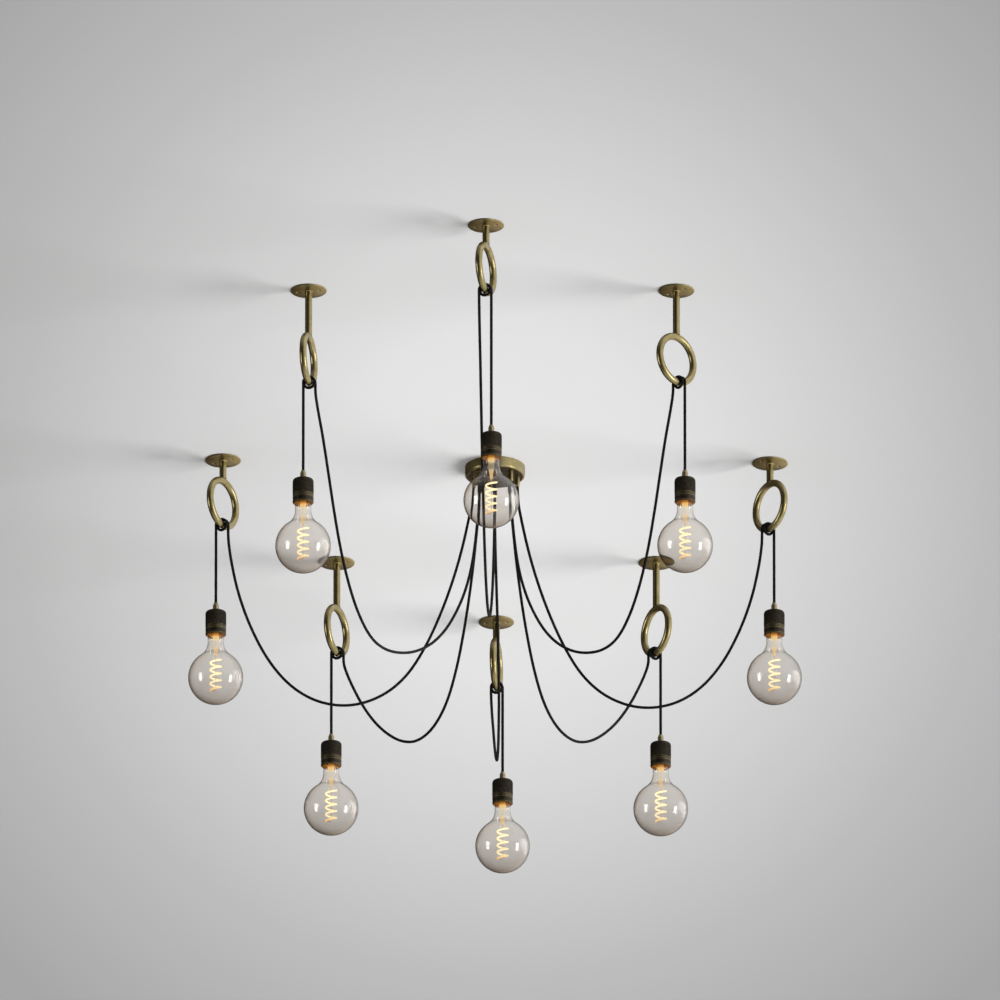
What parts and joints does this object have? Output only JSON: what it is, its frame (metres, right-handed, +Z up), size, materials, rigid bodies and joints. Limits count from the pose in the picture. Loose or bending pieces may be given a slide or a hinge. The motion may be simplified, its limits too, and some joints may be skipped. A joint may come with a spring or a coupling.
{
  "type": "spider chandelier",
  "caption": "Ceiling chandelier: fabric cords swag from a round brass canopy to ring hooks spread over the ceiling, each ending in a hanging lampholder with a clear globe bulb.",
  "frame": {"origin": "middle of the canopy on the ceiling plane", "axes": "+Z up into the ceiling, +X to the right and +Y away from the viewer of the picture"},
  "size_m": [1.3942, 2.5369, 0.7312],
  "materials": {
    "aged_brass": "aged satin",
    "dark_bronze": "dark knurled patina",
    "cap_brass": "plain",
    "zinc_steel": "zinc plated",
    "black_plastic": "matt",
    "cord_fabric": "braided",
    "socket_ceramic": "unglazed",
    "bulb_glass": "clear, faintly grey",
    "filament": "lit coiled filament on a glass stem"
  },
  "bodies": {
    "root": {"canopy_cover": "aged_brass", "ceiling_strap": "zinc_steel", "canopy_screws": "aged_brass", "canopy_cord_grips": "aged_brass", "canopy_grip_nuts": "zinc_steel", "junction_block": "black_plastic", "cord_tails": "cord_fabric", "hook_plates": "aged_brass", "hook_stems": "aged_brass", "hook_rings": "aged_brass", "swag_cords": "cord_fabric"},
    "pendant_1": {"drop_cord_1": "cord_fabric", "lampholder_shell_1": "dark_bronze", "lampholder_insert_1": "socket_ceramic"},
    "bulb_1": {"bulb_glass_1": "bulb_glass", "bulb_cap_1": "cap_brass", "bulb_filament_1": "filament"},
    "pendant_2": {"drop_cord_2": "cord_fabric", "lampholder_shell_2": "dark_bronze", "lampholder_insert_2": "socket_ceramic"},
    "bulb_2": {"bulb_glass_2": "bulb_glass", "bulb_cap_2": "cap_brass", "bulb_filament_2": "filament"},
    "pendant_3": {"drop_cord_3": "cord_fabric", "lampholder_shell_3": "dark_bronze", "lampholder_insert_3": "socket_ceramic"},
    "bulb_3": {"bulb_glass_3": "bulb_glass", "bulb_cap_3": "cap_brass", "bulb_filament_3": "filament"},
    "pendant_4": {"drop_cord_4": "cord_fabric", "lampholder_shell_4": "dark_bronze", "lampholder_insert_4": "socket_ceramic"},
    "bulb_4": {"bulb_glass_4": "bulb_glass", "bulb_cap_4": "cap_brass", "bulb_filament_4": "filament"},
    "pendant_5": {"drop_cord_5": "cord_fabric", "lampholder_shell_5": "dark_bronze", "lampholder_insert_5": "socket_ceramic"},
    "bulb_5": {"bulb_glass_5": "bulb_glass", "bulb_cap_5": "cap_brass", "bulb_filament_5": "filament"},
    "pendant_6": {"drop_cord_6": "cord_fabric", "lampholder_shell_6": "dark_bronze", "lampholder_insert_6": "socket_ceramic"},
    "bulb_6": {"bulb_glass_6": "bulb_glass", "bulb_cap_6": "cap_brass", "bulb_filament_6": "filament"},
    "pendant_7": {"drop_cord_7": "cord_fabric", "lampholder_shell_7": "dark_bronze", "lampholder_insert_7": "socket_ceramic"},
    "bulb_7": {"bulb_glass_7": "bulb_glass", "bulb_cap_7": "cap_brass", "bulb_filament_7": "filament"},
    "pendant_8": {"drop_cord_8": "cord_fabric", "lampholder_shell_8": "dark_bronze", "lampholder_insert_8": "socket_ceramic"},
    "bulb_8": {"bulb_glass_8": "bulb_glass", "bulb_cap_8": "cap_brass", "bulb_filament_8": "filament"}
  },
  "joints": [
    {"name": "pendant_1_swing", "type": "hinge", "parent": "root", "child": "pendant_1", "pos_m": [-0.00811, -1.45169, -0.15967], "axis": [0.3007, 0.9537, 0], "range_deg": [-10, 10]},
    {"name": "bulb_1_out", "type": "slide", "parent": "pendant_1", "child": "bulb_1", "axis": [0, 0, -1], "range_m": [0, 0.03]},
    {"name": "pendant_2_swing", "type": "hinge", "parent": "root", "child": "pendant_2", "pos_m": [-0.43164, -1.05611, -0.22139], "axis": [-0.2284, -0.9736, 0], "range_deg": [-10, 10]},
    {"name": "bulb_2_out", "type": "slide", "parent": "pendant_2", "child": "bulb_2", "axis": [0, 0, -1], "range_m": [0, 0.03]},
    {"name": "pendant_3_swing", "type": "hinge", "parent": "root", "child": "pendant_3", "pos_m": [0.42775, -1.05954, -0.22139], "axis": [0.6959, 0.7181, 0], "range_deg": [-10, 10]},
    {"name": "bulb_3_out", "type": "slide", "parent": "pendant_3", "child": "bulb_3", "axis": [0, 0, -1], "range_m": [0, 0.03]},
    {"name": "pendant_4_swing", "type": "hinge", "parent": "root", "child": "pendant_4", "pos_m": [-0.63446, -0.04319, -0.1599], "axis": [-0.5329, -0.8462, 0], "range_deg": [-10, 10]},
    {"name": "bulb_4_out", "type": "slide", "parent": "pendant_4", "child": "bulb_4", "axis": [0, 0, -1], "range_m": [0, 0.03]},
    {"name": "pendant_5_swing", "type": "hinge", "parent": "root", "child": "pendant_5", "pos_m": [0.63482, -0.01497, -0.15939], "axis": [0.5892, -0.808, 0], "range_deg": [-10, 10]},
    {"name": "bulb_5_out", "type": "slide", "parent": "pendant_5", "child": "bulb_5", "axis": [0, 0, -1], "range_m": [0, 0.03]},
    {"name": "pendant_6_swing", "type": "hinge", "parent": "root", "child": "pendant_6", "pos_m": [-0.37429, 0.58597, -0.22187], "axis": [-0.4019, -0.9157, 0], "range_deg": [-10, 10]},
    {"name": "bulb_6_out", "type": "slide", "parent": "pendant_6", "child": "bulb_6", "axis": [0, 0, -1], "range_m": [0, 0.03]},
    {"name": "pendant_7_swing", "type": "hinge", "parent": "root", "child": "pendant_7", "pos_m": [0.37863, 0.59116, -0.22139], "axis": [0.5105, -0.8599, 0], "range_deg": [-10, 10]},
    {"name": "bulb_7_out", "type": "slide", "parent": "pendant_7", "child": "bulb_7", "axis": [0, 0, -1], "range_m": [0, 0.03]},
    {"name": "pendant_8_swing", "type": "hinge", "parent": "root", "child": "pendant_8", "pos_m": [0.01729, 0.96023, -0.15939], "axis": [0.1392, 0.9903, 0], "range_deg": [-10, 10]},
    {"name": "bulb_8_out", "type": "slide", "parent": "pendant_8", "child": "bulb_8", "axis": [0, 0, -1], "range_m": [0, 0.03]}
  ]
}
